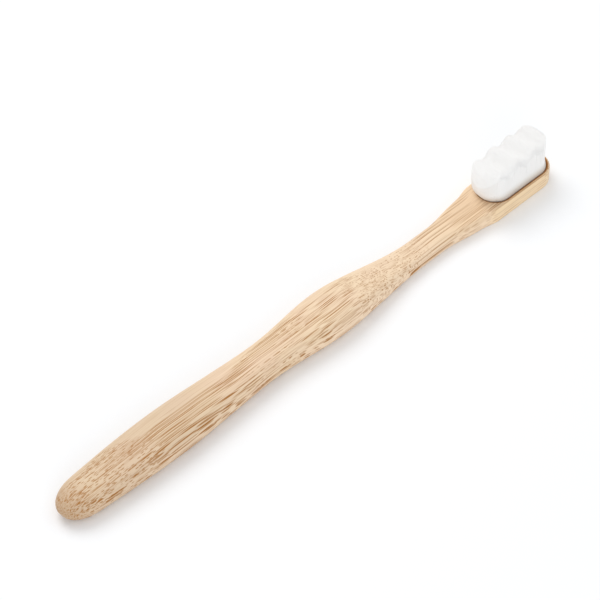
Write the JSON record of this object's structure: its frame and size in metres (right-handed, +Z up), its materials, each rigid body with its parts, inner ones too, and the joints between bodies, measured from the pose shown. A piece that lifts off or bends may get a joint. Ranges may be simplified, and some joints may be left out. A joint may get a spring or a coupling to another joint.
{
  "type": "manual toothbrush",
  "caption": "Manual toothbrush with a sculpted bamboo handle and a dense block of fine white bristles, trimmed in rounded waves and glued into a pocket in its head.",
  "frame": {"origin": "middle of the brush's length and width, on the surface that its flat back lies on", "axes": "+X from the butt to the tip of the head, +Y across, +Z up from the back to the bristles"},
  "size_m": [0.19, 0.0148, 0.0169],
  "materials": {
    "bamboo": "sanded bamboo, satin, brown fibres along its length, scorched at the pocket's mouth",
    "filament": "fine white filaments with tapered ends",
    "bristle_root": "white filament ends melted together",
    "adhesive": "set amber glue"
  },
  "bodies": {
    "root": {"adhesive_bed": "adhesive", "bamboo_handle": "bamboo", "bristle_bundle_01": "filament", "bristle_bundle_02": "filament", "bristle_bundle_03": "filament", "bristle_bundle_04": "filament", "bristle_bundle_05": "filament", "bristle_bundle_06": "filament", "bristle_bundle_07": "filament", "bristle_bundle_08": "filament", "bristle_bundle_09": "filament", "bristle_bundle_10": "filament", "bristle_bundle_11": "filament", "bristle_bundle_12": "filament", "bristle_bundle_13": "filament", "bristle_bundle_14": "filament", "bristle_bundle_15": "filament", "bristle_bundle_16": "filament", "bristle_bundle_17": "filament", "bristle_bundle_18": "filament", "bristle_bundle_19": "filament", "bristle_bundle_20": "filament", "bristle_bundle_21": "filament", "bristle_bundle_22": "filament", "bristle_bundle_23": "filament", "bristle_bundle_24": "filament", "bristle_bundle_25": "filament", "bristle_bundle_26": "filament", "bristle_bundle_27": "filament", "bristle_bundle_28": "filament", "bristle_root_plate": "bristle_root"}
  },
  "joints": []
}
